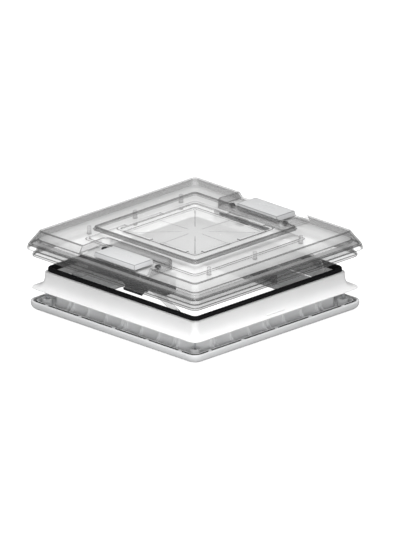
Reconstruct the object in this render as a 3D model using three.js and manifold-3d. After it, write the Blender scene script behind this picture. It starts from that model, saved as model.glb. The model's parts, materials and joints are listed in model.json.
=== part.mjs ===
// Roof vent cover for a caravan: a clear double-skin dome that lifts on four arms above a
// white roof frame with a rim seal, and a ceiling trim with a sleeve that closes the cut-out
// from below. Millimetres, +Z up, origin at the centre of the ceiling trim's bottom face.
// The front is -Y. The dome is shown raised on its arms, in the ventilation position.
import * as THREE from "three";
import { mergeVertices } from "three/addons/utils/BufferGeometryUtils.js";
import Module from "manifold-3d";

const wasm = await Module();
wasm.setup();

// ---- Driving sizes -------------------------------------------------------------------------

const GAP = 0.3; // clearance between pieces that touch
const CORNER_STEPS = 4; // facets in each rounded corner of a square ring
const ROUND_STEPS = 16; // facets in each pin, screw and boss

const FRAME_BASE = 45; // underside of the roof flange
const FRAME_SHOULDER = 81; // top of the upstand, where the seal's outer leg stands
const RIM_TOP = 87; // top of the thin rim that the seal grips
const RIM_INSIDE = 209.3; // half side of the frame's inner wall
const SEAL_TOP = 90;

const TRIM_FLOOR = 8; // pocket floor of the ceiling trim
const TRIM_RIM = 19; // top of the ceiling trim's rim
const SLEEVE_TOP = 60;
const SLEEVE_CUT = 48; // the sleeve is lower than this beside the rails
const BOSS_PLACE = 211; // corner screw bosses, from the centre along X and Y
const BOSS_TOP = 23;

const SKIN_FLAT = 150; // top of the inner skin's flat field
const INNER_THICK = 2.5;
const TRAY_FLOOR = 155; // top of the recessed trays beside the badge plates
const OUTER_THICK = 3;
const TRAY_HALF = 96; // half width of the trays in the front and back edges
const TRAY_START = 158.6; // where each tray starts, from the centre

const ROD_PLACE = 185; // guide rods, from the centre
const ROD_Z = 127.5;
const ROD_R = 3;
const RAIL = { half: 112, near: 166, far: 193.5, low: 106, top: 147, wall: 2.5 };
const PIVOT = { x: 152, z: 82, holeR: 3.3, pinR: 3 };
const SLIDER_X = 56;
// A slider's fork, from the guide rod's axis: it floats, so that the dome can also tilt.
const FORK = { low: -7.3, high: 5.2, tine: 3, half: 12 };
const SLOT_HALF = 14; // half height of the rail's slots, which clears the fork
const ROD_RISE = 4; // how far a guide rod can rise in the rail's end walls
const ARM = { near: 200, far: 203.3, rootR: 8, tipR: 7 };
const LEVER = { y: 176, z: 101.5, openDegrees: 35 };

// ---- Colours and finishes ------------------------------------------------------------------

const finish = (color, roughness, extra = {}) =>
  new THREE.MeshStandardMaterial({ color, roughness, metalness: 0, ...extra });
const finishes = {
  clear: finish(0xd4d7d9, 0.08, { transparent: true, opacity: 0.35 }),
  smoke: finish(0x5a5e62, 0.3),
  white: finish(0xf2f3f3, 0.35),
  trim: finish(0xd2d4d6, 0.4),
  rubber: finish(0x17181a, 0.7),
  badge: finish(0xe9ebec, 0.25),
  slider: finish(0x2c2f33, 0.45),
  steel: finish(0xb9bcc0, 0.25, { metalness: 0.9 }),
};

// ---- Shape helpers -------------------------------------------------------------------------

// One level loop of a square with rounded corners, counterclockwise from above.
function squareLoop([half, radius, z]) {
  const centre = half - radius;
  const signs = [[1, 1], [-1, 1], [-1, -1], [1, -1]];
  return signs.flatMap(([sx, sy], quarter) =>
    Array.from({ length: CORNER_STEPS + 1 }, (_, i) => {
      const angle = ((quarter + i / CORNER_STEPS) * Math.PI) / 2;
      return [sx * centre + radius * Math.cos(angle), sy * centre + radius * Math.sin(angle), z];
    }),
  );
}

// A closed surface through square loops. A ring's profile goes up its outer face and down its
// inner face; an open profile ends in a cap at each end, around a point at that cap's height.
function loft(profile, caps) {
  const loops = profile.map(squareLoop);
  const count = loops[0].length;
  const positions = loops.flat(2);
  const index = [];
  const spans = caps ? loops.length - 1 : loops.length;
  for (let k = 0; k < spans; k++) {
    const low = k * count;
    const high = ((k + 1) % loops.length) * count;
    for (let i = 0; i < count; i++) {
      const next = (i + 1) % count;
      index.push(low + i, low + next, high + next, low + i, high + next, high + i);
    }
  }
  if (caps) {
    const last = (loops.length - 1) * count;
    const centre = loops.length * count;
    positions.push(0, 0, caps[0], 0, 0, caps[1]);
    for (let i = 0; i < count; i++) {
      const next = (i + 1) % count;
      index.push(centre, next, i, centre + 1, last + i, last + next);
    }
  }
  const geometry = new THREE.BufferGeometry();
  geometry.setAttribute("position", new THREE.Float32BufferAttribute(positions, 3));
  geometry.setIndex(index);
  return geometry;
}

// A geometry as a manifold solid, and back again.
function solid(geometry) {
  const bare = geometry.clone();
  bare.deleteAttribute("normal");
  bare.deleteAttribute("uv");
  const merged = mergeVertices(bare, 1e-3);
  return new wasm.Manifold(
    new wasm.Mesh({
      numProp: 3,
      vertProperties: merged.attributes.position.array,
      triVerts: new Uint32Array(merged.index.array),
    }),
  );
}

function surface(body) {
  const mesh = body.getMesh();
  const geometry = new THREE.BufferGeometry();
  geometry.setAttribute("position", new THREE.BufferAttribute(mesh.vertProperties, 3));
  geometry.setIndex(new THREE.BufferAttribute(mesh.triVerts, 1));
  return geometry.toNonIndexed();
}

function cut(geometry, tools) {
  return surface(tools.reduce((left, tool) => left.subtract(solid(tool)), solid(geometry)));
}

function join(geometries) {
  return surface(geometries.map(solid).reduce((sum, next) => sum.add(next)));
}

// A box from its two corners.
function block([x0, y0, z0], [x1, y1, z1]) {
  const geometry = new THREE.BoxGeometry(x1 - x0, y1 - y0, z1 - z0);
  return geometry.translate((x0 + x1) / 2, (y0 + y1) / 2, (z0 + z1) / 2);
}

// Upright and front-to-back cylinders between two heights or two distances.
function post(x, y, radius, low, high) {
  const geometry = new THREE.CylinderGeometry(radius, radius, high - low, ROUND_STEPS);
  return geometry.rotateX(Math.PI / 2).translate(x, y, (low + high) / 2);
}

function pin(x, z, radius, near, far) {
  const geometry = new THREE.CylinderGeometry(radius, radius, far - near, ROUND_STEPS);
  return geometry.translate(x, -(near + far) / 2, z);
}

function rod(y, z, radius, half) {
  const geometry = new THREE.CylinderGeometry(radius, radius, 2 * half, ROUND_STEPS);
  return geometry.rotateZ(Math.PI / 2).translate(0, y, z);
}

// An outline in X and Z, extruded from Y = -near to Y = -far.
function facePlate(shape, near, far) {
  const options = { depth: far - near, bevelEnabled: false, curveSegments: ROUND_STEPS / 2 };
  return new THREE.ExtrudeGeometry(shape, options).rotateX(Math.PI / 2).translate(0, -near, 0);
}

// An outline in distance from the centre and Z, extruded along a side around place.
function sidePlate(points, place, width) {
  const shape = new THREE.Shape(points.map(([u, v]) => new THREE.Vector2(u, v)));
  const geometry = new THREE.ExtrudeGeometry(shape, { depth: width, bevelEnabled: false });
  return geometry.rotateX(Math.PI / 2).translate(0, place + width / 2, 0);
}

const quarterTurns = [0, 1, 2, 3].map((turn) => (turn * Math.PI) / 2);
const cornerSigns = [[-1, -1], [1, -1], [1, 1], [-1, 1]];

const vent = new THREE.Group();
function add(name, geometry, material, parent = vent) {
  const mesh = new THREE.Mesh(geometry, material);
  mesh.name = name;
  parent.add(mesh);
  return mesh;
}

// ---- Roof frame, seal, ceiling trim and sleeve ---------------------------------------------

function roofFrame() {
  const ring = loft([
    [RIM_INSIDE, 8, FRAME_BASE],
    [237.5, 19, FRAME_BASE],
    [238.5, 20, FRAME_BASE + 1.5],
    [238, 20, FRAME_BASE + 3],
    [231, 19, FRAME_BASE + 4],
    [225, 16, FRAME_BASE + 6.5],
    [221, 14, FRAME_BASE + 11.5],
    [218.6, 12.5, FRAME_BASE + 19],
    [217.5, 12, FRAME_BASE + 28],
    [217.5, 12, FRAME_SHOULDER - 1],
    [216.5, 15, FRAME_SHOULDER],
    [211.7, 10, FRAME_SHOULDER],
    [211.7, 10, RIM_TOP],
    [RIM_INSIDE, 8, RIM_TOP],
  ]);
  const pad = block([223.5, -25, FRAME_BASE + 1], [231.5, 25, FRAME_BASE + 6]);
  const holes = cornerSigns.map(([sx, sy]) =>
    post(sx * BOSS_PLACE, sy * BOSS_PLACE, 2.4, FRAME_BASE - 1, FRAME_BASE + 21),
  );
  return cut(join([ring, pad]), holes);
}

function rimSeal() {
  return loft([
    [214, 14, FRAME_SHOULDER + GAP],
    [214, 14, SEAL_TOP - 2],
    [212.5, 12.5, SEAL_TOP],
    [208.5, 9, SEAL_TOP],
    [207, 8, SEAL_TOP - 2],
    [207, 8, FRAME_SHOULDER - 3],
    [RIM_INSIDE - GAP, 8.5, FRAME_SHOULDER - 3],
    [RIM_INSIDE - GAP, 8.5, RIM_TOP + GAP],
    [212, 11, RIM_TOP + GAP],
    [212, 11, FRAME_SHOULDER + GAP],
  ]);
}

function ceilingTrim() {
  const ring = loft([
    [202, 10, 0],
    [226, 14, 0],
    [233, 17, 1.4],
    [238, 20, 5],
    [240.6, 22, 9.5],
    [241.2, 22, 14],
    [241, 22, TRIM_RIM - 1],
    [240, 21, TRIM_RIM],
    [236, 18, TRIM_RIM],
    [236, 18, TRIM_RIM - 8],
    [234, 17, TRIM_RIM - 8],
    [234, 17, TRIM_RIM - 1],
    [228, 14, TRIM_RIM - 1],
    [228, 14, TRIM_FLOOR],
    [202, 10, TRIM_FLOOR],
  ]);
  // Short tabs bridge the slot between the rim and the inner lip.
  const tabs = quarterTurns.flatMap((turn) =>
    [-190, -96, 0, 96, 190].map((place) =>
      block([233.5, place - 4, TRIM_RIM - 9], [236.5, place + 4, TRIM_RIM - 1.2]).rotateZ(turn),
    ),
  );
  const bosses = cornerSigns.map(([sx, sy]) =>
    post(sx * BOSS_PLACE, sy * BOSS_PLACE, 11, TRIM_FLOOR - 2, BOSS_TOP),
  );
  const holes = cornerSigns.flatMap(([sx, sy]) => [
    post(sx * BOSS_PLACE, sy * BOSS_PLACE, 2.6, -1, BOSS_TOP + 1),
    post(sx * BOSS_PLACE, sy * BOSS_PLACE, 5.2, -1, 3.5),
  ]);
  return cut(join([ring, ...tabs, ...bosses]), holes);
}

function innerSleeve() {
  const ring = loft([
    [201.4, 10, 0],
    [199.6, 9, SLEEVE_TOP],
    [196.9, 7, SLEEVE_TOP],
    [198.4, 8, 4],
    [193.5, 6, 4],
    [193.5, 6, 0],
  ]);
  // Gussets stand in the trim's pocket: pairs at the middle and near the corners.
  const foot = TRIM_FLOOR + GAP;
  const outline = [
    [199.2, foot],
    [217, foot],
    [210, foot + 3],
    [205.5, foot + 9],
    [203.6, foot + 18],
    [202.8, FRAME_BASE - 1],
    [199.2, FRAME_BASE - 1],
  ];
  const places = [-156, -144, -100, -50, -6, 6, 50, 100, 144, 156];
  const gussets = quarterTurns.flatMap((turn) =>
    places.map((place) => sidePlate(outline, place, 2).rotateZ(turn)),
  );
  const besideRails = [-200, 200].map((place) =>
    block([-172, place - 10, SLEEVE_CUT], [172, place + 10, SLEEVE_TOP + 1]),
  );
  return cut(join([ring, ...gussets]), besideRails);
}

// A long screw from the trim's underside, through the roof and up into the frame's corner.
function frameScrew() {
  return join([post(0, 0, 4.8, 0.4, 3.2), post(0, 0, 2, 3, FRAME_BASE + 19)]);
}

add("roof_flange_frame", roofFrame(), finishes.white);
add("rim_seal", rimSeal(), finishes.rubber);
add("ceiling_trim_ring", ceilingTrim(), finishes.trim);
add("inner_sleeve_frame", innerSleeve(), finishes.trim);
const screwNames = ["front_left", "front_right", "back_right", "back_left"];
cornerSigns.forEach(([sx, sy], i) => {
  const screw = add("frame_screw_" + screwNames[i], frameScrew(), finishes.steel);
  screw.position.set(sx * BOSS_PLACE, sy * BOSS_PLACE, 0);
});

// ---- Dome ----------------------------------------------------------------------------------

// Places that all four quarters of the dome share.
const POST_PLACES = [-171, 171].flatMap((x) => [-131, 0, 131].map((y) => [x, y]));
const RAIL_SCREW = { x: 76, y: 182 };
const railScrewPlaces = cornerSigns.map(([sx, sy]) => [sx * RAIL_SCREW.x, sy * RAIL_SCREW.y]);

// The space of a tray cut into the front or back edge, with rounded inner corners.
function traySpace(side, half, start, low) {
  const r = 12;
  const shape = new THREE.Shape();
  shape.moveTo(-half, 262);
  shape.lineTo(-half, start + r);
  shape.absarc(-half + r, start + r, r, Math.PI, 1.5 * Math.PI, false);
  shape.absarc(half - r, start + r, r, -Math.PI / 2, 0, false);
  shape.lineTo(half, 262);
  const geometry = new THREE.ExtrudeGeometry(shape, {
    depth: 200 - low,
    bevelEnabled: false,
    curveSegments: 3,
  });
  return geometry.rotateZ(side < 0 ? Math.PI : 0).translate(0, 0, low);
}

function outerSkin() {
  const outside = [
    [245, 16, 129],
    [243, 15, 139.6],
    [224.5, 10, 168.6],
    [147, 8, 171.6],
    [145, 8, 178],
  ];
  const inside = [
    [242.3, 13, 128],
    [240.1, 12.5, 138.8],
    [222.7, 8.5, 165.8],
    [145, 6.5, 168.6],
    [142.4, 6, 175],
  ];
  const filled = loft(outside, [129, 178]);
  const hollow = loft(inside, [128, 175]);
  const trays = [-1, 1].map((side) => traySpace(side, TRAY_HALF, TRAY_START, TRAY_FLOOR));
  const under = [-1, 1].map((side) =>
    traySpace(side, TRAY_HALF + OUTER_THICK, TRAY_START - OUTER_THICK, TRAY_FLOOR - OUTER_THICK),
  );
  const screws = railScrewPlaces.map(([x, y]) => post(x, y, 2.9, 140, 170));
  const shell = solid(cut(filled, trays)).subtract(solid(cut(hollow, under)));
  return cut(surface(shell), screws);
}

function innerSkin() {
  const t = INNER_THICK;
  const pan = loft(
    [
      [98, 6, 161.5],
      [106, 7, 161.7],
      [109, 8, 169.5],
      [113, 9, 169.5],
      [153, 10, 148.5],
      [159, 10, SKIN_FLAT - t],
      [224.9, 11, SKIN_FLAT - t],
      [228.5, 13, 123.5],
      [234.5, 15, 118.5],
      [234.5, 15, 114],
      [236.9, 16, 114],
      [236.9, 16, 119.5],
      [231, 14, 124.5],
      [228.2, 13, 144.5],
      [237.9, 13, 138.4],
      [237.7, 13, 140.9],
      [227.4, 13, SKIN_FLAT],
      [159, 11, SKIN_FLAT],
      [153.5, 11, 151.2],
      [113.8, 9, 172],
      [108, 8, 172],
      [104, 7, 164.2],
      [98, 6, 164],
    ],
    [163.5, 166],
  );
  const holes = [
    ...POST_PLACES.map(([x, y]) => post(x, y, 3, 140, 160)),
    ...railScrewPlaces.map(([x, y]) => post(x, y, 2.9, 140, 160)),
  ];
  return cut(pan, holes);
}

// A spacer between the skins, with a neck through the inner skin and a boss below it.
function spacerPost() {
  return join([
    post(0, 0, 4.5, SKIN_FLAT + GAP, 167.2),
    post(0, 0, 2.6, SKIN_FLAT - 5, SKIN_FLAT + 2),
    post(0, 0, 4.5, 135, SKIN_FLAT - INNER_THICK - GAP),
  ]);
}

add("dome_outer_skin", outerSkin(), finishes.clear);
add("dome_inner_skin", innerSkin(), finishes.clear);
const postRows = ["front", "middle", "back"];
POST_PLACES.forEach(([x, y], i) => {
  const name = "dome_post_" + postRows[i % 3] + (x < 0 ? "_left" : "_right");
  add(name, spacerPost(), finishes.clear).position.set(x, y, 0);
});

// ---- One lifting side, modelled at the front ------------------------------------------------

const ARM_RISE = ROD_Z - PIVOT.z;
const ARM_RUN = PIVOT.x - SLIDER_X;
const ARM_LENGTH = Math.hypot(ARM_RISE, ARM_RUN);
const ARM_ANGLE = Math.atan2(ARM_RISE, ARM_RUN);

// The badge plate: a plain raised block with sloping sides, on the tray.
function badgePlate() {
  const low = new THREE.BoxGeometry(112, 52, 166 - TRAY_FLOOR - GAP);
  const place = low.attributes.position;
  for (let i = 0; i < place.count; i++) {
    if (place.getZ(i) < 0) {
      place.setX(i, place.getX(i) * 1.04);
      place.setY(i, place.getY(i) * 1.06);
    }
  }
  return low.translate(0, -203, (166 + TRAY_FLOOR + GAP) / 2);
}

// The rail: a channel with end walls, open at the inner side, with a slot for each slider
// in its front wall and two lugs below for the lock lever. The guide rod passes through an
// upright slot in each end wall, so that the dome can also tilt.
function liftRail() {
  const { half, near, far, low, top, wall } = RAIL;
  const shell = block([-half, -far, low], [half, -near, top]);
  const inside = block([-half + wall, -far + wall, low + wall], [half - wall, -near + 1, top - wall]);
  const slots = [-1, 1].map((side) =>
    block(
      [side * (SLIDER_X - 5) - 18, -far - 1, ROD_Z - SLOT_HALF],
      [side * (SLIDER_X - 5) + 18, -far + wall + 1, ROD_Z + SLOT_HALF],
    ),
  );
  const lugs = [-1, 1].map((side) =>
    block(
      [side * 36 - 3, -LEVER.y - 5, LEVER.z - 5],
      [side * 36 + 3, -LEVER.y + 5, low + wall / 2],
    ),
  );
  const screws = [-1, 1].map((side) => post(side * RAIL_SCREW.x, -RAIL_SCREW.y, 2.9, 130, 150));
  const rodHole = ROD_R + 0.4;
  const holes = [
    rod(-ROD_PLACE, ROD_Z, rodHole, half + 1),
    rod(-ROD_PLACE, ROD_Z + ROD_RISE, rodHole, half + 1),
    block(
      [-half - 1, -ROD_PLACE - rodHole, ROD_Z],
      [half + 1, -ROD_PLACE + rodHole, ROD_Z + ROD_RISE],
    ),
    rod(-LEVER.y, LEVER.z, 2.4, 45),
  ];
  return cut(join([cut(shell, [inside]), ...lugs]), [...slots, ...screws, ...holes]);
}

// A screw that holds the tray, the inner skin and the rail together.
function railScrew() {
  return join([
    post(0, 0, 6.5, TRAY_FLOOR + GAP, TRAY_FLOOR + 4.2),
    post(0, 0, 2.5, 141, TRAY_FLOOR + 1),
  ]);
}

// The bracket: a base on the frame's inner wall and an ear beside the arm.
function armBracket() {
  const base = block([-13, -RIM_INSIDE + GAP, 52], [13, -203.8, 77.4]);
  const shape = new THREE.Shape();
  shape.moveTo(-8, 70);
  shape.lineTo(8, 70);
  shape.lineTo(8, PIVOT.z);
  shape.absarc(0, PIVOT.z, 8, 0, Math.PI, false);
  const ear = facePlate(shape, 203.8, 206.6);
  return cut(join([base, ear]), [pin(0, PIVOT.z, PIVOT.holeR, 190, 206.9)]);
}

function pivotPin() {
  return join([
    pin(0, PIVOT.z, 5, 197.2, 199.6),
    pin(0, PIVOT.z, PIVOT.pinR, 199, 206.5),
  ]);
}

// The arm, along +X from its pivot at the origin.
function liftArm() {
  const { near, far, rootR, tipR } = ARM;
  const lean = Math.asin((rootR - tipR) / ARM_LENGTH);
  const shape = new THREE.Shape();
  shape.absarc(0, 0, rootR, Math.PI / 2 - lean, 1.5 * Math.PI + lean, false);
  shape.absarc(ARM_LENGTH, 0, tipR, -Math.PI / 2 + lean, Math.PI / 2 - lean, false);
  const bar = facePlate(shape, near, far);
  const holes = [0, ARM_LENGTH].map((x) => pin(x, 0, PIVOT.holeR, near - 1, far + 1));
  return cut(bar, holes);
}

// The slider: a block in front of the rail, a stub for the arm and a fork on the guide rod.
function armSlider() {
  const { low, high, tine, half } = FORK;
  return join([
    block([-10, -199.5, -half], [10, -196, half]),
    pin(0, 0, PIVOT.pinR, 199, 204),
    block([-8, -197, high], [8, -176, high + tine]),
    block([-8, -197, low - tine], [8, -176, low]),
  ]);
}

// The lock lever, hooked outwards, around its pivot at the origin.
function lockLever() {
  const bar = join([
    block([-32, -2.5, -17.5], [32, 2.5, 0]),
    rod(0, 0, 4, 32),
    block([-26, -14, -17.5], [26, -2, -13.5]),
    block([-32, 2, -17.5], [32, 16, -14.5]),
  ]);
  return cut(bar, [rod(0, 0, 2.4, 40)]);
}

// The catch on the sleeve, which the lever hooks under when the dome is down.
function lockCatch() {
  return join([
    block([-36, -197.5, 12], [36, -194.4, 35]),
    block([-34, -196, 32], [34, -186, 35]),
  ]);
}

function liftingSide(end, turn) {
  const side = new THREE.Group();
  side.rotation.z = turn;
  vent.add(side);
  add("badge_plate_" + end, badgePlate(), finishes.badge, side);
  add("lift_rail_" + end, liftRail(), end === "front" ? finishes.smoke : finishes.clear, side);
  add("guide_rod_" + end, rod(-ROD_PLACE, ROD_Z, ROD_R, RAIL.half + 1.5), finishes.steel, side);
  add("lock_catch_" + end, lockCatch(), finishes.smoke, side);
  const lever = add("lock_lever_" + end, lockLever(), finishes.smoke, side);
  lever.position.set(0, -LEVER.y, LEVER.z);
  lever.rotation.x = THREE.MathUtils.degToRad(LEVER.openDegrees);
  add("lever_pin_" + end, rod(-LEVER.y, LEVER.z, 2, 41), finishes.steel, side);
  [-1, 1].forEach((hand) => {
    const name = end + (hand * Math.cos(turn) < 0 ? "_left" : "_right");
    const screw = add("rail_screw_" + name, railScrew(), finishes.slider, side);
    screw.position.set(hand * RAIL_SCREW.x, -RAIL_SCREW.y, 0);
    add("arm_bracket_" + name, armBracket(), finishes.white, side).position.x = hand * PIVOT.x;
    add("arm_pivot_pin_" + name, pivotPin(), finishes.steel, side).position.x = hand * PIVOT.x;
    const arm = add("lift_arm_" + name, liftArm(), finishes.clear, side);
    arm.position.set(hand * PIVOT.x, 0, PIVOT.z);
    arm.rotation.y = hand < 0 ? -ARM_ANGLE : Math.PI + ARM_ANGLE;
    const slider = add("arm_slider_" + name, armSlider(), finishes.slider, side);
    slider.position.set(hand * SLIDER_X, 0, ROD_Z);
  });
}

liftingSide("front", 0);
liftingSide("back", Math.PI);

export default vent;
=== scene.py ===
"""Looks of the roof vent cover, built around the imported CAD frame. Sizes are in millimetres."""

import json
import math

import bmesh
import bpy
from mathutils import Matrix, Vector


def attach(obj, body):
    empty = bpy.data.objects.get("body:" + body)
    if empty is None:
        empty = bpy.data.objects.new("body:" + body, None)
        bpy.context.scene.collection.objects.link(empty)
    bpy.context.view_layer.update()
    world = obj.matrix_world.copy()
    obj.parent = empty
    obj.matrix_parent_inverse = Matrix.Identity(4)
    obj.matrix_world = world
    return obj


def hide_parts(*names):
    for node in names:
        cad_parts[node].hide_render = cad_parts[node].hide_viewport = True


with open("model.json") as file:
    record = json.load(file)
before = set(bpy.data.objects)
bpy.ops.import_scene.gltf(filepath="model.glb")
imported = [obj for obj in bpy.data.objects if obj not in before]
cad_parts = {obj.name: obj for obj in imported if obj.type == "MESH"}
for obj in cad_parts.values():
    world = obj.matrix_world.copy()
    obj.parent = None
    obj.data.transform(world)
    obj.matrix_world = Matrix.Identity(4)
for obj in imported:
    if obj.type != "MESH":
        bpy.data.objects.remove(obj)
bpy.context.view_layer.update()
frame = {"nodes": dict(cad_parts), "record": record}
NODES = frame["nodes"]

# ---- Driving sizes -------------------------------------------------------------------------

MM = 0.001                 # metres in a millimetre
CORNER_STEPS = 12          # facets in each rounded corner of a square ring
ROUND_STEPS = 40           # facets round a screw, post or boss
SMOOTH_ANGLE = math.radians(28)

FRAME_BASE = 45            # underside of the roof flange
SHOULDER = 81              # ledge of the upstand that the seal sits on
RIM_TOP = 87
RIM_INSIDE = 209.3         # half side of the roof frame's inner wall
SEAL_TOP = 90
TRIM_FLOOR = 8
TRIM_RIM = 19
SLEEVE_TOP = 60
SLEEVE_CUT = 50            # the sleeve is lower than this beside the rails
BOSS_PLACE = 211           # the corner screws' distance from both middle lines
SKIN_FLAT = 150            # top of the inner skin's level part
INNER_SKIN = 2.5           # the skins' thicknesses
OUTER_SKIN = 3
STEP_FOOT = 171.6          # the step up to the raised centre of the outer skin
STEP_TOP = 178
STAR_HALF = 98             # half side of the inner skin's central star panel
STAR_RISE = 2.2
STAR_FOLD = 1.6
CREASE = 0.5               # half width of each crease line
TRAY_FLOOR = 155           # the trays that hold the badge plates
TRAY_HALF = 96
TRAY_START = 158.6
PAST_SKIRT = 262           # cuts for the trays run out to here and up to here
PAST_TOP = 200
BADGE_PLACE = 203
SCREW_PLACE = (76, 182)    # the rail screws
SIDES = {"left": -1, "right": 1}
ENDS = {"front": -1, "back": 1}
POST_ROWS = {"front": -131, "middle": 0, "back": 131}
POST_X = 171
CORNERS = {end + "_" + side: (sx, sy) for end, sy in ENDS.items() for side, sx in SIDES.items()}
QUARTERS = (0, 90, 180, 270)

# ---- Camera --------------------------------------------------------------------------------

VIEW_AZIMUTH = 45
VIEW_ELEVATION = 20
VIEW_HEIGHT = 1.098        # metres from the bottom to the top of the picture
VIEW_DISTANCE = 3
VIEW_TARGET = Vector((0.01285, 0.01285, 0.0784))


def make_camera():
    data = bpy.data.cameras.new("view_camera")
    data.type = "ORTHO"
    data.ortho_scale = VIEW_HEIGHT
    data.clip_end = 50
    camera = bpy.data.objects.new("view_camera", data)
    azimuth = math.radians(VIEW_AZIMUTH)
    elevation = math.radians(VIEW_ELEVATION)
    back = Vector((
        math.sin(azimuth) * math.cos(elevation),
        -math.cos(azimuth) * math.cos(elevation),
        math.sin(elevation),
    ))
    camera.location = VIEW_TARGET + back * VIEW_DISTANCE
    camera.rotation_mode = "QUATERNION"
    camera.rotation_quaternion = (-back).to_track_quat("-Z", "Y")
    bpy.context.scene.collection.objects.link(camera)
    bpy.context.scene.camera = camera


# ---- Materials -----------------------------------------------------------------------------

SLANT = (0.2, 0.8)         # Layer Weight's facing value where clear plastic starts and stops to fill
# faces upright past LEVEL take the clear plastics' painted light from above
LEVEL = (0.86, 0.885)      # upright part of the normal from which a face counts as level
COLOUR_A, COLOUR_B, COLOUR_RESULT = 6, 7, 2   # a Mix node's sockets for colours
VALUE_A, VALUE_B = 2, 3    # and for values


def new_material(name):
    material = bpy.data.materials.new(name)
    material.use_nodes = True
    tree = material.node_tree
    shader = tree.nodes["Principled BSDF"]
    return material, tree, shader


def colour_noise(tree, shader, low, high, scale):
    """Base colour that drifts between two near colours."""
    coords = tree.nodes.new("ShaderNodeTexCoord")
    noise = tree.nodes.new("ShaderNodeTexNoise")
    noise.inputs["Scale"].default_value = scale
    noise.inputs["Detail"].default_value = 4
    ramp = tree.nodes.new("ShaderNodeValToRGB")
    ramp.color_ramp.elements[0].position = 0.35
    ramp.color_ramp.elements[1].position = 0.65
    ramp.color_ramp.elements[0].color = (*low, 1)
    ramp.color_ramp.elements[1].color = (*high, 1)
    tree.links.new(coords.outputs["Object"], noise.inputs["Vector"])
    tree.links.new(noise.outputs["Fac"], ramp.inputs["Fac"])
    tree.links.new(ramp.outputs["Color"], shader.inputs["Base Color"])
    return coords, noise, ramp


def grain(tree, shader, coords, scale, strength):
    """A fine moulded grain in the surface."""
    noise = tree.nodes.new("ShaderNodeTexNoise")
    noise.inputs["Scale"].default_value = scale
    noise.inputs["Detail"].default_value = 2
    bump = tree.nodes.new("ShaderNodeBump")
    bump.inputs["Strength"].default_value = strength
    bump.inputs["Distance"].default_value = 0.0002
    tree.links.new(coords.outputs["Object"], noise.inputs["Vector"])
    tree.links.new(noise.outputs["Fac"], bump.inputs["Height"])
    tree.links.new(bump.outputs["Normal"], shader.inputs["Normal"])


def rough_noise(tree, shader, coords, low, high, scale):
    """Roughness that drifts a little, as on a moulding that has been handled."""
    noise = tree.nodes.new("ShaderNodeTexNoise")
    noise.inputs["Scale"].default_value = scale
    spread = tree.nodes.new("ShaderNodeMapRange")
    spread.inputs["To Min"].default_value = low
    spread.inputs["To Max"].default_value = high
    tree.links.new(coords.outputs["Object"], noise.inputs["Vector"])
    tree.links.new(noise.outputs["Fac"], spread.inputs["Value"])
    tree.links.new(spread.outputs["Result"], shader.inputs["Roughness"])


def moulded(name, low, high, roughness, grain_scale=2500, grain_strength=0.15, gloss=0.5):
    """Opaque moulded plastic or rubber, between two near colours."""
    material, tree, shader = new_material(name)
    coords, _, _ = colour_noise(tree, shader, low, high, 9)
    grain(tree, shader, coords, grain_scale, grain_strength)
    rough_noise(tree, shader, coords, roughness * 0.85, roughness * 1.15, 30)
    shader.inputs["Specular IOR Level"].default_value = gloss
    return material


def steel():
    material, tree, shader = new_material("stainless_steel")
    coords, _, _ = colour_noise(tree, shader, (0.5, 0.51, 0.53), (0.62, 0.63, 0.65), 300)
    shader.inputs["Metallic"].default_value = 1
    rough_noise(tree, shader, coords, 0.22, 0.36, 900)
    return material


def level_share(tree, coords):
    """A socket that is 1 on faces that lie level in the object and 0 on the others."""
    split = tree.nodes.new("ShaderNodeSeparateXYZ")
    tree.links.new(coords.outputs["Normal"], split.inputs["Vector"])
    upright = tree.nodes.new("ShaderNodeMath")
    upright.operation = "ABSOLUTE"
    tree.links.new(split.outputs["Z"], upright.inputs[0])
    share = tree.nodes.new("ShaderNodeMapRange")
    share.inputs["From Min"].default_value = LEVEL[0]
    share.inputs["From Max"].default_value = LEVEL[1]
    tree.links.new(upright.outputs["Value"], share.inputs["Value"])
    return share.outputs["Result"]


def clear(name, grey, facing, grazing, white=None, roughness=0.1):
    """Tinted clear plastic, which covers more where it is seen aslant, through more of it.

    facing and grazing are the cover of a face seen head on and edge on. white is the (grey,
    cover) that faces which lie level have instead; that grey is painted light from above.
    """
    material, tree, shader = new_material(name)
    low, high = (grey * 0.97,) * 3, (grey,) * 3
    coords, _, ramp = colour_noise(tree, shader, low, high, 14)
    weight = tree.nodes.new("ShaderNodeLayerWeight")
    weight.inputs["Blend"].default_value = 0.5
    cover = tree.nodes.new("ShaderNodeMapRange")
    cover.inputs["From Min"].default_value = SLANT[0]
    cover.inputs["From Max"].default_value = SLANT[1]
    cover.inputs["To Min"].default_value = facing
    cover.inputs["To Max"].default_value = grazing
    tree.links.new(weight.outputs["Facing"], cover.inputs["Value"])
    result = cover.outputs["Result"]
    # Painted light: faces that lie level take white's lighter grey, as if lit from above, and its
    # cover.
    if white:
        level = level_share(tree, coords)
        tint = tree.nodes.new("ShaderNodeMix")
        tint.data_type = "RGBA"
        tint.inputs[COLOUR_B].default_value = (white[0],) * 3 + (1,)
        tree.links.new(level, tint.inputs[0])
        tree.links.new(ramp.outputs["Color"], tint.inputs[COLOUR_A])
        tree.links.new(tint.outputs[COLOUR_RESULT], shader.inputs["Base Color"])
        blend = tree.nodes.new("ShaderNodeMix")
        blend.inputs[VALUE_B].default_value = white[1]
        tree.links.new(level, blend.inputs[0])
        tree.links.new(result, blend.inputs[VALUE_A])
        result = blend.outputs[0]
    tree.links.new(result, shader.inputs["Alpha"])
    grain(tree, shader, coords, 60, 0.03)
    rough_noise(tree, shader, coords, roughness * 0.8, roughness * 1.2, 30)
    shader.inputs["IOR"].default_value = 1.49
    return material


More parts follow.
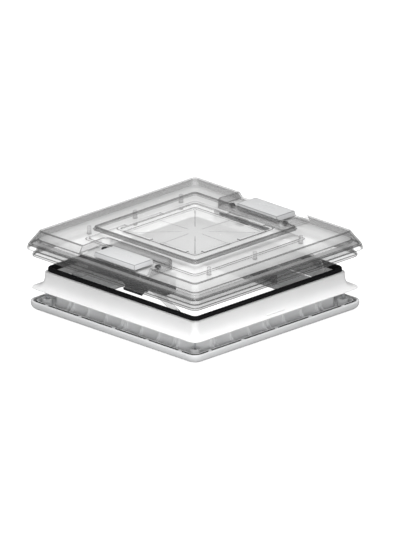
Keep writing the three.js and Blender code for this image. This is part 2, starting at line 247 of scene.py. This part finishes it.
def clear_edge(name, grey, cover):
    """The rounded edges and creases of clear plastic, which gather the tint into a line."""
    material, tree, shader = new_material(name)
    coords, _, _ = colour_noise(tree, shader, (grey * 0.9,) * 3, (grey,) * 3, 40)
    rough_noise(tree, shader, coords, 0.08, 0.16, 60)
    shader.inputs["Alpha"].default_value = cover
    return material


MATERIALS = {
    # The last tuple of a clear plastic is the grey and cover of its level faces; that grey is painted
    # light from above.
    "clear_acrylic": clear("clear_acrylic", 0.09, 0.05, 0.70, (0.5, 0.05)),
    "clear_inner": clear("clear_inner", 0.18, 0.25, 0.48, (0.90, 0.55)),
    "clear_edge": clear_edge("clear_edge", 0.09, 0.68),
    "clear_polycarbonate": clear("clear_polycarbonate", 0.35, 0.2, 0.45, roughness=0.2),
    "smoke_plastic": moulded("smoke_plastic", (0.06, 0.062, 0.068), (0.075, 0.078, 0.085), 0.4),
    # black_plastic is also the painted shadow on the ceiling trim's groove wall.
    "black_plastic": moulded("black_plastic", (0.012, 0.012, 0.014), (0.02, 0.02, 0.022), 0.45),
    "white_abs": moulded("white_abs", (0.82, 0.82, 0.82), (0.86, 0.86, 0.86), 0.35),
    "trim_abs": moulded("trim_abs", (0.61, 0.615, 0.62), (0.65, 0.655, 0.66), 0.42, 1800, 0.25),
    "sleeve_abs": moulded("sleeve_abs", (0.83, 0.835, 0.84), (0.87, 0.875, 0.88), 0.45, 1800, 0.25),
    "badge_plate": moulded("badge_plate", (0.56, 0.565, 0.57), (0.60, 0.605, 0.61), 0.3, 1500, 0.1),
    # Painted shade: the badge plates' rounded edges, darker than their faces.
    "badge_edge_shade": moulded("badge_edge_shade", (0.24, 0.245, 0.25), (0.28, 0.285, 0.29), 0.3),
    "seal_rubber": moulded(
        "seal_rubber", (0.004, 0.004, 0.005), (0.008, 0.008, 0.009), 0.8, 900, 0.3, 0.15),
    "stainless_steel": steel(),
}

# ---- Mesh helpers --------------------------------------------------------------------------


STRAIGHT = 176             # degrees from which a corner of a profile isn't rounded


def soften(points, size, closed, steps=3):
    """The profile with rounded corners, as (point, corner) where corner numbers each curve."""
    points = [Vector(p) for p in points]
    made = []
    count = len(points)
    for i, here in enumerate(points):
        if not closed and i in (0, count - 1):
            made.append((here, None))
            continue
        before = points[i - 1] - here
        after = points[(i + 1) % count] - here
        if math.degrees(before.angle(after)) > STRAIGHT:
            made.append((here, None))
            continue
        start = here + before.normalized() * min(size, before.length * 0.45)
        end = here + after.normalized() * min(size, after.length * 0.45)
        for k in range(steps + 1):
            t = k / steps
            made.append((start * (1 - t) ** 2 + here * 2 * t * (1 - t) + end * t * t, i))
    return made


def square_loop(half, radius, z, crease=0.0):
    """A level square with round corners. A crease adds two points beside each side's middle."""
    centre = half - radius
    points = []
    for quarter, (sx, sy) in enumerate(((1, 1), (-1, 1), (-1, -1), (1, -1))):
        for i in range(CORNER_STEPS + 1):
            angle = (quarter + i / CORNER_STEPS) * math.pi / 2
            points.append((
                sx * centre + radius * math.cos(angle),
                sy * centre + radius * math.sin(angle),
                z,
            ))
        if crease:
            turn = (quarter + 1) * math.pi / 2
            for beside in (-crease, crease):
                points.append((
                    half * math.cos(turn) - beside * math.sin(turn),
                    half * math.sin(turn) + beside * math.cos(turn),
                    z,
                ))
    return points


def to_object(name, mesh_maker, material, edge=None, smooth=SMOOTH_ANGLE):
    """A new object from a bmesh in millimetres, with its edge material second."""
    bmesh.ops.recalc_face_normals(mesh_maker, faces=mesh_maker.faces)
    mesh = bpy.data.meshes.new(name)
    mesh_maker.to_mesh(mesh)
    mesh_maker.free()
    mesh.transform(Matrix.Scale(MM, 4))
    mesh.materials.append(MATERIALS[material])
    mesh.materials.append(MATERIALS[edge or material])
    shade(mesh, smooth)
    piece = bpy.data.objects.new(name, mesh)
    bpy.context.scene.collection.objects.link(piece)
    return piece


def shade(mesh, angle):
    """Smooth shading, broken at edges sharper than the angle."""
    mesh.polygons.foreach_set("use_smooth", [True] * len(mesh.polygons))
    mesh.set_sharp_from_angle(angle=angle)


def loft(profile, caps=False, height=None, crease=0.0, marked=None):
    """A bmesh through square loops: a closed ring, or a solid that is capped at both ends.

    The bands of rounded corners take the edge material, or else those between marked corners.
    """
    maker = bmesh.new()
    loops = []
    corners = []
    for (half, radius, z), corner in profile:
        points = square_loop(half, radius, z, crease)
        if height:
            points = [(x, y, height(x, y, z)) for x, y, z in points]
        loops.append([maker.verts.new(p) for p in points])
        corners.append(corner)
    count = len(loops[0])
    last = len(loops) - 1 if caps else len(loops)
    for k in range(last):
        low, high = loops[k], loops[(k + 1) % len(loops)]
        ends = (corners[k], corners[(k + 1) % len(loops)])
        if marked is not None:
            edge = ends[0] in marked and ends[1] in marked
        else:
            edge = ends[0] is not None and ends[0] == ends[1]
        for i in range(count):
            j = (i + 1) % count
            face = maker.faces.new((low[i], low[j], high[j], high[i]))
            face.material_index = int(edge)
    if caps:
        maker.faces.new(list(reversed(loops[0])))
        maker.faces.new(loops[-1])
    return maker


def gather(makers):
    """One bmesh from several that don't touch."""
    whole = bmesh.new()
    for maker in makers:
        bmesh.ops.recalc_face_normals(maker, faces=maker.faces)
        mesh = bpy.data.meshes.new("gathered")
        maker.to_mesh(mesh)
        maker.free()
        whole.from_mesh(mesh)
        bpy.data.meshes.remove(mesh)
    return whole


def turned(maker, degrees):
    """The bmesh turned about the upright axis."""
    bmesh.ops.transform(
        maker, matrix=Matrix.Rotation(math.radians(degrees), 4, "Z"), verts=maker.verts)
    return maker


def box_maker(low, high, bevel=0.0, segments=2):
    """A box between two corners, with rounded edges if a bevel is given."""
    maker = bmesh.new()
    size = [b - a for a, b in zip(low, high)]
    middle = [(a + b) / 2 for a, b in zip(low, high)]
    matrix = Matrix.Translation(middle) @ Matrix.Diagonal((*size, 1))
    bmesh.ops.create_cube(maker, size=1, matrix=matrix)
    if bevel:
        bmesh.ops.bevel(
            maker, geom=maker.edges[:], offset=bevel, segments=segments, profile=0.5, affect="EDGES")
    return maker


def lathe(profile, place=(0, 0, 0), steps=ROUND_STEPS):
    """An upright turned solid from (radius, z) points that start and end on the axis."""
    maker = bmesh.new()
    rings = []
    angles = [2 * math.pi * i / steps for i in range(steps)]
    for radius, z in profile:
        if radius == 0:
            rings.append([maker.verts.new((0, 0, z))])
            continue
        rings.append([
            maker.verts.new((radius * math.cos(a), radius * math.sin(a), z)) for a in angles])
    for low, high in zip(rings, rings[1:]):
        for i in range(steps):
            j = (i + 1) % steps
            corners = [low[i % len(low)], low[j % len(low)], high[j % len(high)], high[i % len(high)]]
            maker.faces.new(list(dict.fromkeys(corners)))
    bmesh.ops.translate(maker, verts=maker.verts, vec=place)
    return maker


def at_corners(profile, place, steps=ROUND_STEPS):
    """The same turned solid at all four corners, place being its distances from the middle."""
    x, y = place
    return gather([lathe(profile, (sx * x, sy * y, 0), steps) for sx, sy in CORNERS.values()])


def prism(outline, low, high):
    """An upright prism on an outline in X and Y."""
    maker = bmesh.new()
    bottom = [maker.verts.new((x, y, low)) for x, y in outline]
    top = [maker.verts.new((x, y, high)) for x, y in outline]
    maker.faces.new(list(reversed(bottom)))
    maker.faces.new(top)
    for i in range(len(outline)):
        j = (i + 1) % len(outline)
        maker.faces.new((bottom[i], bottom[j], top[j], top[i]))
    return maker


def arc(cx, cy, radius, start, end, steps):
    """Points on an arc, with its angles in degrees."""
    turns = [math.radians(start + (end - start) * i / steps) for i in range(steps + 1)]
    return [(cx + radius * math.cos(a), cy + radius * math.sin(a)) for a in turns]


def apply_boolean(piece, tool, operation):
    """Cuts or joins the piece with a tool object, which isn't kept."""
    boolean = piece.modifiers.new("boolean", "BOOLEAN")
    boolean.operation = operation
    boolean.solver = "EXACT"
    boolean.object = tool
    apply_modifiers(piece)
    mesh = tool.data
    bpy.data.objects.remove(tool)
    bpy.data.meshes.remove(mesh)
    shade(piece.data, SMOOTH_ANGLE)


def combine(piece, makers, operation):
    """Cuts or joins the piece with each bmesh in turn."""
    for maker in makers:
        bmesh.ops.recalc_face_normals(maker, faces=maker.faces)
        tool_mesh = bpy.data.meshes.new("tool")
        maker.to_mesh(tool_mesh)
        maker.free()
        tool_mesh.transform(Matrix.Scale(MM, 4))
        tool = bpy.data.objects.new("tool", tool_mesh)
        bpy.context.scene.collection.objects.link(tool)
        apply_boolean(piece, tool, operation)


def apply_modifiers(piece):
    """Makes the piece's mesh what its modifiers make of it."""
    bpy.context.view_layer.update()
    graph = bpy.context.evaluated_depsgraph_get()
    mesh = bpy.data.meshes.new_from_object(piece.evaluated_get(graph), depsgraph=graph)
    piece.modifiers.clear()
    old = piece.data
    piece.data = mesh
    bpy.data.meshes.remove(old)


WELD_GAP = 0.02            # corners closer than this are one corner before edges are rounded


def bevel_edges(piece, width, segments=2, angle=35, material=-1):
    """Rounds a piece's sharp edges. material is the slot that the new faces take."""
    weld = piece.modifiers.new("weld", "WELD")
    weld.merge_threshold = WELD_GAP * MM
    bevel = piece.modifiers.new("bevel", "BEVEL")
    bevel.width = width * MM
    bevel.segments = segments
    bevel.limit_method = "ANGLE"
    bevel.angle_limit = math.radians(angle)
    bevel.material = material


def finish_piece(piece, body, node):
    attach(piece, body)
    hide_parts(node)


# ---- Floor and light -----------------------------------------------------------------------

FLOOR_GLOW = 0.95          # how white the floor looks
FLOOR_HALF = 40000         # half side in millimetres, so that its edge is past every view
FLOOR_DROP = 0.5           # how far it lies below the part
WORLD_GLOW = 0.34          # the world's strength as a light
LIGHT_TARGET = Vector((0, 0, 0.08))


def make_floor():
    floor_material, tree, shader = new_material("pale_floor")
    shader.inputs["Base Color"].default_value = (0.5, 0.5, 0.5, 1)
    shader.inputs["Roughness"].default_value = 0.9
    shader.inputs["Specular IOR Level"].default_value = 0
    shader.inputs["Emission Color"].default_value = (1, 1, 1, 1)
    # The floor looks white but throws little light up at the part.
    ray = tree.nodes.new("ShaderNodeLightPath")
    glow = tree.nodes.new("ShaderNodeMath")
    glow.operation = "MULTIPLY"
    glow.inputs[1].default_value = FLOOR_GLOW
    tree.links.new(ray.outputs["Is Camera Ray"], glow.inputs[0])
    tree.links.new(glow.outputs["Value"], shader.inputs["Emission Strength"])
    maker = bmesh.new()
    bmesh.ops.create_grid(maker, x_segments=1, y_segments=1, size=FLOOR_HALF)
    bmesh.ops.translate(maker, verts=maker.verts, vec=(0, 0, -FLOOR_DROP))
    MATERIALS["pale_floor"] = floor_material
    floor = to_object("studio_floor", maker, "pale_floor")


def area_light(name, place, size, power):
    """A square light in metres and watts, which points at the part."""
    data = bpy.data.lights.new(name, "AREA")
    data.shape = "SQUARE"
    data.size = size
    data.energy = power
    light = bpy.data.objects.new(name, data)
    light.location = place
    light.rotation_mode = "QUATERNION"
    light.rotation_quaternion = (LIGHT_TARGET - Vector(place)).to_track_quat("-Z", "Y")
    bpy.context.scene.collection.objects.link(light)
    return light


def make_light():
    world = bpy.data.worlds.new("studio")
    world.use_nodes = True
    background = world.node_tree.nodes["Background"]
    background.inputs["Color"].default_value = (1, 1, 1, 1)
    # White to look at, but dimmer as a light.
    ray = world.node_tree.nodes.new("ShaderNodeLightPath")
    strength = world.node_tree.nodes.new("ShaderNodeMapRange")
    strength.inputs["To Min"].default_value = WORLD_GLOW
    world.node_tree.links.new(ray.outputs["Is Camera Ray"], strength.inputs["Value"])
    world.node_tree.links.new(strength.outputs["Result"], background.inputs["Strength"])
    bpy.context.scene.world = world
    area_light("top_light", (0, 0, 1.9), 1.2, 5)
    area_light("key_light", (1.06, -1.06, 2.6), 1.1, 68)
    area_light("low_light", (1.9, -1.9, 0.6), 1.0, 26)
    back = area_light("back_light", (-1.7, 1.7, 1.0), 1.0, 15)
    back.visible_glossy = False
    bpy.context.scene.view_settings.view_transform = "Standard"
    bpy.context.scene.cycles.transparent_max_bounces = 40


# ---- Fixed frame, seal and ceiling trim ----------------------------------------------------


def roof_frame():
    profile = [
        (RIM_INSIDE, 8, FRAME_BASE),
        (237.5, 19, FRAME_BASE),
        (238.5, 20, FRAME_BASE + 1.5),
        (238, 20, FRAME_BASE + 3),
        (231, 19, FRAME_BASE + 4),
        (225, 16, FRAME_BASE + 6.5),
        (221, 14, FRAME_BASE + 11.5),
        (218.6, 12.5, FRAME_BASE + 19),
        (217.5, 12, FRAME_BASE + 28),
        (217.5, 12, SHOULDER),
        (211.7, 10, SHOULDER),
        (211.7, 10, RIM_TOP),
        (RIM_INSIDE, 8, RIM_TOP),
    ]
    maker = loft(soften(profile, 3, True, 4), marked=())
    piece = to_object("roof_frame", maker, "white_abs", "trim_abs")
    # Painted shade: the pad's rounded edges take the greyer trim material, for the faint shade line
    # along them.
    pad = box_maker((223.5, -25, FRAME_BASE + 1), (231.5, 25, FRAME_BASE + 6), 0.8)
    combine(piece, [outlined(pad)], "UNION")
    hole = [(0, FRAME_BASE - 1), (2.4, FRAME_BASE - 1), (2.4, FRAME_BASE + 21), (0, FRAME_BASE + 21)]
    combine(piece, [at_corners(hole, (BOSS_PLACE, BOSS_PLACE))], "DIFFERENCE")
    finish_piece(piece, "base", "roof_flange_frame")


def rim_seal():
    profile = [
        (214, 14, SHOULDER + 0.3),
        (214, 14, SEAL_TOP - 2),
        (212.5, 12.5, SEAL_TOP),
        (208.5, 9, SEAL_TOP),
        (207, 8, SEAL_TOP - 2),
        (207, 8, SHOULDER - 3),
        (RIM_INSIDE - 0.3, 8.5, SHOULDER - 3),
        (RIM_INSIDE - 0.3, 8.5, RIM_TOP + 0.3),
        (212, 11, RIM_TOP + 0.3),
        (212, 11, SHOULDER + 0.3),
    ]
    piece = to_object("rubber_rim_seal", loft(soften(profile, 1, True)), "seal_rubber")
    finish_piece(piece, "base", "rim_seal")


def ceiling_trim():
    profile = [
        (202, 10, 0), (226, 14, 0), (233, 17, 1.4), (238, 20, 5), (240.6, 22, 9.5),
        (241.2, 22, 14), (241, 22, TRIM_RIM - 1), (240, 21, TRIM_RIM), (236, 18, TRIM_RIM),
        (236, 18, TRIM_RIM - 8), (231.7, 17, TRIM_RIM - 8), (231.7, 17, TRIM_RIM - 0.4),
        (228, 14, TRIM_RIM - 0.4), (228, 14, TRIM_FLOOR), (202, 10, TRIM_FLOOR),
    ]
    # Painted shadow: the groove's inner wall takes black plastic, standing for the shade in the
    # narrow gap.
    shadowed_groove_side = (10, 11)
    maker = loft(soften(profile, 1.2, True), marked=shadowed_groove_side)
    piece = to_object("ceiling_trim", maker, "trim_abs", "black_plastic")
    tabs = gather([
        turned(box_maker((231.2, y - 4, TRIM_RIM - 9), (236.5, y + 4, TRIM_RIM - 0.6), 0.3), turn)
        for turn in QUARTERS for y in (-190, -96, 0, 96, 190)
    ])
    boss = [(0, 6), (11, 6), (11, 22), (10, 23), (0, 23)]
    combine(piece, [tabs, at_corners(boss, (BOSS_PLACE, BOSS_PLACE))], "UNION")
    bore = [(0, -1), (5.2, -1), (5.2, 3.5), (2.6, 4.2), (2.6, 19), (6.5, 20), (6.5, 24), (0, 24)]
    combine(piece, [at_corners(bore, (BOSS_PLACE, BOSS_PLACE))], "DIFFERENCE")
    finish_piece(piece, "base", "ceiling_trim_ring")


def side_plate(points, place, width):
    """An outline in distance from the centre and Z, extruded along a side around place."""
    maker = bmesh.new()
    near = [maker.verts.new((u, place - width / 2, z)) for u, z in points]
    far = [maker.verts.new((u, place + width / 2, z)) for u, z in points]
    maker.faces.new(near)
    maker.faces.new(list(reversed(far)))
    for i in range(len(points)):
        j = (i + 1) % len(points)
        maker.faces.new((near[j], near[i], far[i], far[j]))
    return maker


def inner_sleeve():
    profile = [
        (201.4, 10, 0), (199.6, 9, SLEEVE_TOP), (196.9, 7, SLEEVE_TOP), (198.4, 8, 4),
        (193.5, 6, 4), (193.5, 6, 0),
    ]
    piece = to_object("ceiling_sleeve", loft(soften(profile, 0.8, True)), "sleeve_abs")
    foot = TRIM_FLOOR + 0.3
    curve = [(203.6 + 13.4 * (1 - math.sin(a)), foot + 3 + 22 * (1 - math.cos(a)))
             for a in (math.pi / 2 * i / 8 for i in range(9))]
    outline = [(199.2, foot), (217, foot)] + curve + [(202.8, 44), (199.2, 44)]
    places = (-156, -144, -100, -50, -6, 6, 50, 100, 144, 156)
    gussets = gather([
        turned(side_plate(outline, place, 2), turn) for turn in QUARTERS for place in places])
    combine(piece, [gussets], "UNION")
    beside = gather([
        box_maker((-172, place - 10, SLEEVE_CUT), (172, place + 10, SLEEVE_TOP + 1), 4, 4)
        for place in (-200, 200)
    ])
    combine(piece, [beside], "DIFFERENCE")
    finish_piece(piece, "base", "inner_sleeve_frame")


def cross_recess(radius, width, low, high):
    """The recess of a cross-head screw."""
    half = width / 2
    outline = []
    for turn in range(4):
        cos, sin = math.cos(turn * math.pi / 2), math.sin(turn * math.pi / 2)
        for u, v in ((half, half), (radius, half), (radius, -half)):
            outline.append((u * cos + v * sin, v * cos - u * sin))
    return prism(outline, low, high)


def screw(name, profile, recess, place, slot, body, node):
    """A cross-head screw, recess being what cross_recess takes."""
    piece = to_object(name, lathe(profile), slot)
    combine(piece, [cross_recess(*recess)], "DIFFERENCE")
    piece.data.transform(Matrix.Translation(Vector(place) * MM))
    finish_piece(piece, body, node)


def frame_screws():
    profile = [(0, 0.4), (3.6, 0.4), (4.8, 1.4), (4.8, 3.2), (2, 3.2), (2, 62.5), (0, 64)]
    for corner, (sx, sy) in CORNERS.items():
        place = (sx * BOSS_PLACE, sy * BOSS_PLACE, 0)
        screw("long_screw_" + corner, profile, (2.6, 0.9, -1, 1.6), place,
              "stainless_steel", "base", "frame_screw_" + corner)


# ---- Dome ----------------------------------------------------------------------------------


def tray_space(side, half, start, low, radius):
    """The space of a tray in the front or back edge of the outer skin."""
    points = [(-half, PAST_SKIRT)]
    points += arc(-half + radius, start + radius, radius, 180, 270, 8)
    points += arc(half - radius, start + radius, radius, -90, 0, 8)
    points.append((half, PAST_SKIRT))
    return turned(prism(points, low, PAST_TOP), 0 if side > 0 else 180)


def outer_dome():
    outside = [
        (245, 16, 129), (243, 15, 139.6), (224.5, 10, 168.6), (147, 8, STEP_FOOT),
        (145, 8, STEP_TOP), (120, 6, STEP_TOP),
    ]
    inside = [
        (242.3, 13, 128), (240.1, 12.5, 138.8), (222.7, 8.5, 165.8), (145, 6.5, 168.6),
        (142.4, 6, STEP_TOP - OUTER_SKIN), (118, 5, STEP_TOP - OUTER_SKIN),
    ]
    maker = loft(soften(outside, 1.6, False), caps=True)
    for face in maker.faces:
        if STEP_FOOT + 0.4 < face.calc_center_median().z < STEP_TOP - 0.5:
            face.material_index = 1
    piece = to_object("outer_dome", maker, "clear_acrylic", "clear_edge")
    hollow = to_object(
        "hollow", loft(soften(inside, 1.2, False), caps=True), "clear_acrylic", "clear_edge")
    trays = gather([tray_space(side, TRAY_HALF, TRAY_START, TRAY_FLOOR, 12) for side in (-1, 1)])
    under = gather([
        tray_space(side, TRAY_HALF + OUTER_SKIN, TRAY_START - OUTER_SKIN, TRAY_FLOOR - OUTER_SKIN, 15)
        for side in (-1, 1)
    ])
    combine(piece, [trays], "DIFFERENCE")
    combine(hollow, [under], "DIFFERENCE")
    apply_boolean(piece, hollow, "DIFFERENCE")
    combine(piece, [rail_screw_holes()], "DIFFERENCE")
    bevel_edges(piece, 0.7, 2, 40, 1)
    finish_piece(piece, "dome", "dome_outer_skin")


def rail_screw_holes():
    return at_corners([(0, 140), (2.9, 140), (2.9, 170), (0, 170)], SCREW_PLACE, 20)


def star_height(x, y, z):
    """Eight shallow facets that meet along the axes and diagonals."""
    far, near = max(abs(x), abs(y)), min(abs(x), abs(y))
    if far > STAR_HALF + 0.1:
        return z
    return z + STAR_RISE * (1 - far / STAR_HALF) - STAR_FOLD * near / STAR_HALF * far / STAR_HALF


def inner_dome():
    star = [(STAR_HALF * k / 5, 1.2 * k, 161.3) for k in range(1, 5)]
    skin = [
        (98, 6, 161.3), (106, 7, 161.7), (109, 8, 169.5), (113, 9, 169.5), (153, 10, 148.5),
        (159, 10, SKIN_FLAT - INNER_SKIN), (224.9, 11, SKIN_FLAT - INNER_SKIN), (228.5, 13, 123.5),
        (234.5, 15, 118.5), (234.5, 15, 114), (236.9, 16, 114), (236.9, 16, 119.5),
        (231, 14, 124.5), (228.2, 13, 144.5), (237.9, 13, 138.4), (237.7, 13, 140.9),
        (227.4, 13, SKIN_FLAT), (159, 11, SKIN_FLAT), (153.5, 11, 151.2), (113.8, 9, 172),
        (108, 8, 172), (104, 7, 164.2), (98, 6, 163.8),
    ]
    top = [(half, radius, z + INNER_SKIN) for half, radius, z in reversed(star)]
    profile = soften(star + skin + top, 1.0, False)
    maker = loft(profile, caps=True, height=star_height, crease=CREASE)
    mark_creases(maker)
    piece = to_object("inner_dome", maker, "clear_inner", "clear_edge", math.radians(12))
    pads = gather([
        turned(outlined(box_maker((105.5, low, 170), (115.5, high, 173.6), 0.9)), turn)
        for turn in QUARTERS for low, high in ((-88, -14), (14, 88))
    ])
    combine(piece, [pads], "UNION")
    necks = gather([
        lathe([(0, 140), (3, 140), (3, 160), (0, 160)], (x, y, 0), 20)
        for x in (-POST_X, POST_X) for y in POST_ROWS.values()
    ])
    combine(piece, [necks, rail_screw_holes()], "DIFFERENCE")
    finish_piece(piece, "dome", "dome_inner_skin")


def outlined(maker):
    """Gives a box's rounded edges the edge material."""
    for face in maker.faces:
        face.normal_update()
        face.material_index = int(max(abs(part) for part in face.normal) < 0.98)
    return maker


def mark_creases(maker):
    """Gives the narrow faces along the star's folds the edge material."""
    for face in maker.faces:
        centre = face.calc_center_median()
        across = min(abs(centre.x), abs(centre.y))
        far = max(abs(centre.x), abs(centre.y))
        if far < STAR_HALF and len(face.verts) == 4:
            on_axis = across < CREASE * 0.5
            on_diagonal = abs(abs(centre.x) - abs(centre.y)) < CREASE
            face.material_index = int(on_axis or on_diagonal)


def spacer_posts():
    profile = [
        (0, 135), (3.9, 135), (4.5, 135.6), (4.5, 147.2), (2.6, 147.2), (2.6, 150.3),
        (5.2, 150.3), (5.2, 151.3), (4.5, 152.2), (4.3, 166.4), (3.7, 167.2), (0, 167.2),
    ]
    for row, y in POST_ROWS.items():
        for side, sign in SIDES.items():
            maker = lathe(profile, (sign * POST_X, y, 0))
            piece = to_object("post_" + row + "_" + side, maker, "clear_polycarbonate")
            bevel_edges(piece, 0.3)
            finish_piece(piece, "dome", "dome_post_" + row + "_" + side)


def badge_plates():
    """A plain raised plate with sloping sides and a small blank panel instead of any mark."""
    low, high = TRAY_FLOOR + 0.3, 166
    for end, sign in ENDS.items():
        maker = box_maker((-56, -26, low), (56, 26, high))
        for vert in maker.verts:
            if vert.co.z < (low + high) / 2:
                vert.co.x *= 1.04
                vert.co.y *= 1.06
        rounded = bmesh.ops.bevel(
            maker, geom=maker.edges[:], offset=1.1, segments=4, profile=0.5, affect="EDGES")
        # Painted shade: the rounded edge faces take the darker grey.
        for face in rounded["faces"]:
            face.material_index = 1
        piece = to_object("badge_block_" + end, maker, "badge_plate", "badge_edge_shade")
        panel = prism(rounded_box(21, 6.5, 3), high - 0.5, high + 1)
        combine(piece, [panel], "DIFFERENCE")
        piece.data.transform(Matrix.Translation((0, sign * BADGE_PLACE * MM, 0)))
        finish_piece(piece, "dome", "badge_plate_" + end)


def rounded_box(half_x, half_y, radius):
    """The outline of a rectangle with round corners."""
    points = []
    for turn, (sx, sy) in enumerate(((1, 1), (-1, 1), (-1, -1), (1, -1))):
        cx, cy = sx * (half_x - radius), sy * (half_y - radius)
        points += arc(cx, cy, radius, turn * 90, turn * 90 + 90, 6)
    return points


def rail_screws():
    x, y = SCREW_PLACE
    profile = [
        (0, 141), (2.5, 141), (2.5, 155.3), (6.5, 155.3), (6.5, 156.8), (5, 158.8), (0, 159.2),
    ]
    for corner, (sx, sy) in CORNERS.items():
        screw("rail_fixing_" + corner, profile, (3.4, 1.1, 157, 161), (sx * x, sy * y, 0),
              "black_plastic", "dome", "rail_screw_" + corner)


# ---- Kept CAD nodes ------------------------------------------------------------------------


def carried_over():
    """CAD nodes that keep their shape: rounded edges and a full material."""
    slots = {s["node"]: s["material_slot"] for s in frame["record"]["subparts"]}
    for name, node in NODES.items():
        if node.hide_render:
            continue
        node.data.materials.clear()
        node.data.materials.append(MATERIALS[slots[name]])
        bevel_edges(node, 0.45)


make_camera()
make_light()
make_floor()
roof_frame()
rim_seal()
ceiling_trim()
inner_sleeve()
frame_screws()
outer_dome()
inner_dome()
spacer_posts()
badge_plates()
rail_screws()
carried_over()
